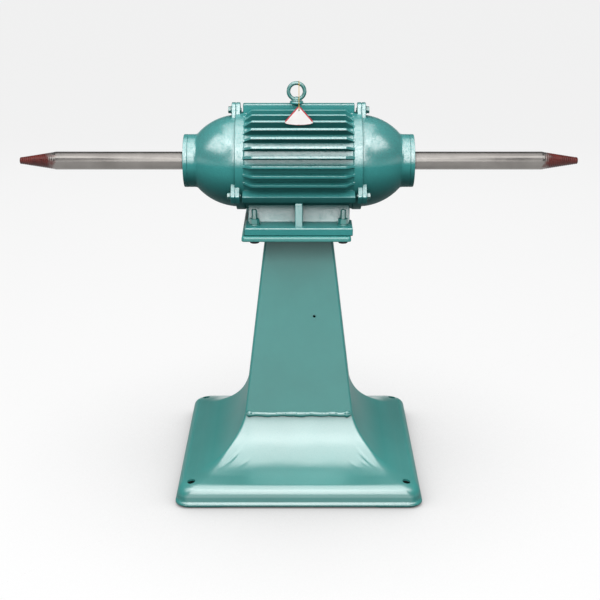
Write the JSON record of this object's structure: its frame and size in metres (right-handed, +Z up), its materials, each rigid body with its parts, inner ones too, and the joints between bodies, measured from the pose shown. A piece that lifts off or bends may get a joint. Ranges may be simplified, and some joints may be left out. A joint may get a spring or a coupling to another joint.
{
  "type": "pedestal polishing motor",
  "caption": "Double-ended polishing motor with finned housing and tapered screw spindle ends, bolted on a flared square sheet-steel stand.",
  "frame": {"origin": "on the floor under the middle of the stand", "axes": "+X along the spindle to the right-hand screw point, +Z up, front of the machine towards -Y"},
  "size_m": [1.4, 0.618, 1.0131],
  "materials": {
    "enamel": "glossy teal-green enamel",
    "pad_paint": "dark enamel",
    "black_steel": "blackened steel",
    "polished_steel": "ground and polished steel",
    "bearing_steel": "polished bearing steel",
    "cage_brass": "pressed brass",
    "seal_rubber": "black nitrile rubber",
    "core_steel": "stacked sheet steel",
    "winding_copper": "varnished copper wire",
    "rotor_alloy": "cast aluminium",
    "inner_cap_iron": "cast iron",
    "spring_steel": "spring steel",
    "zinc_steel": "zinc-plated steel",
    "gasket_rubber": "rubber sheet",
    "block_plastic": "brown moulding compound",
    "stud_brass": "plain brass",
    "gland_plastic": "black nylon",
    "tag_card": "white laminated card with a red border",
    "tag_yarn": "yellow twisted yarn"
  },
  "bodies": {
    "stand_and_motor": {"base_rim": "enamel", "left_side_sheet": "enamel", "right_side_sheet": "enamel", "column_front_sheet": "enamel", "column_rear_sheet": "enamel", "front_skirt": "enamel", "rear_skirt": "enamel", "weld_beads": "enamel", "top_plate": "enamel", "motor_frame": "enamel", "left_end_shield": "enamel", "right_end_shield": "enamel", "left_shield_bolts": "enamel", "right_shield_bolts": "enamel", "shield_washers": "enamel", "left_outer_cap": "enamel", "right_outer_cap": "enamel", "lifting_eye": "enamel", "foot_nuts": "enamel", "foot_washers": "enamel", "terminal_box": "enamel", "box_lid": "enamel", "corner_pads": "pad_paint", "foot_bolts": "black_steel", "left_outer_race": "bearing_steel", "right_outer_race": "bearing_steel", "left_shaft_seal": "seal_rubber", "right_shaft_seal": "seal_rubber", "stator_core": "core_steel", "stator_winding": "winding_copper", "left_inner_cap": "inner_cap_iron", "right_inner_cap": "inner_cap_iron", "bearing_spring": "spring_steel", "left_cap_screws": "zinc_steel", "right_cap_screws": "zinc_steel", "lid_screws": "zinc_steel", "box_screws": "zinc_steel", "box_gasket": "gasket_rubber", "terminal_block": "block_plastic", "terminal_studs": "stud_brass", "cable_gland": "gland_plastic"},
    "rotor": {"spindle": "polished_steel", "rotor_core": "core_steel", "rotor_end_rings": "rotor_alloy", "left_inner_race": "bearing_steel", "right_inner_race": "bearing_steel"},
    "left_balls": {"left_ball_set": "bearing_steel", "left_ball_cage": "cage_brass"},
    "right_balls": {"right_ball_set": "bearing_steel", "right_ball_cage": "cage_brass"},
    "tag": {"hang_tag": "tag_card", "tag_string": "tag_yarn"}
  },
  "joints": [
    {"name": "spindle_spin", "type": "hinge", "parent": "stand_and_motor", "child": "rotor", "pos_m": [0, 0, 0.813], "axis": [1, 0, 0], "continuous": true},
    {"name": "left_cage_spin", "type": "hinge", "parent": "stand_and_motor", "child": "left_balls", "pos_m": [-0.255, 0, 0.813], "axis": [1, 0, 0], "continuous": true},
    {"name": "right_cage_spin", "type": "hinge", "parent": "stand_and_motor", "child": "right_balls", "pos_m": [0.255, 0, 0.813], "axis": [1, 0, 0], "continuous": true},
    {"name": "tag_swing", "type": "hinge", "parent": "stand_and_motor", "child": "tag", "pos_m": [0.0005, 0, 1.00608], "axis": [1, 0, 0], "range_deg": [-95, 0]}
  ],
  "couplings": [
    {"joint": "left_cage_spin", "follows": "spindle_spin", "ratio": 0.37957},
    {"joint": "right_cage_spin", "follows": "spindle_spin", "ratio": 0.37957}
  ]
}
